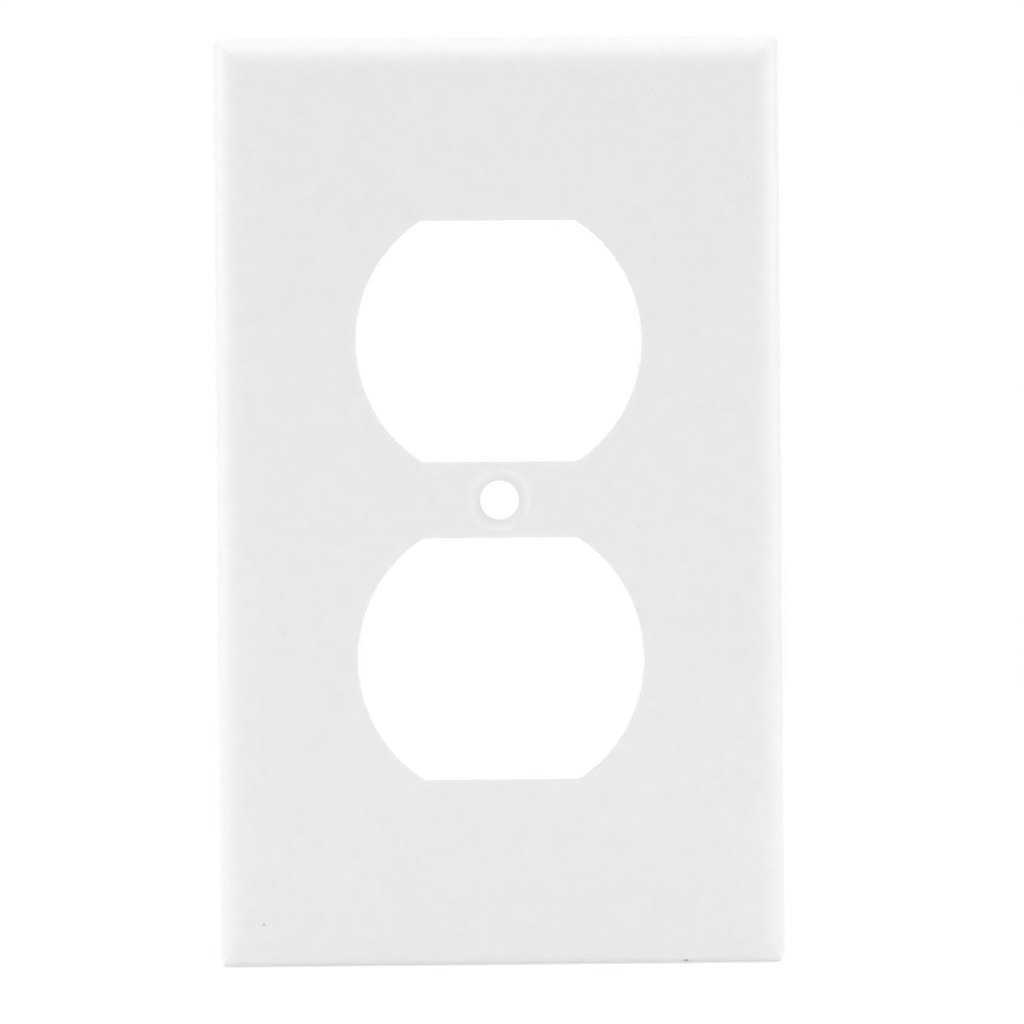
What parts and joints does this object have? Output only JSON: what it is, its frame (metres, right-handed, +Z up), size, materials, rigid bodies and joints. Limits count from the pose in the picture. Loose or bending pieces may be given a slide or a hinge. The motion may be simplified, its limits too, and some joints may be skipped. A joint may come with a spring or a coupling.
{
  "type": "duplex receptacle wall plate",
  "caption": "Standard-size moulded plastic cover plate for a duplex receptacle, with two flat-sided round openings and a countersunk screw hole between them.",
  "frame": {"origin": "on the axis of the centre screw hole, in the plane of the wall that the rim's back face meets", "axes": "+Z up the plate's long side, +X to the right seen from the front, +Y into the wall; the front faces -Y"},
  "size_m": [0.0698, 0.0056, 0.1142],
  "materials": {
    "white_plastic": "smooth as moulded, between satin and gloss"
  },
  "bodies": {
    "root": {"wall_plate": "white_plastic"}
  },
  "joints": []
}
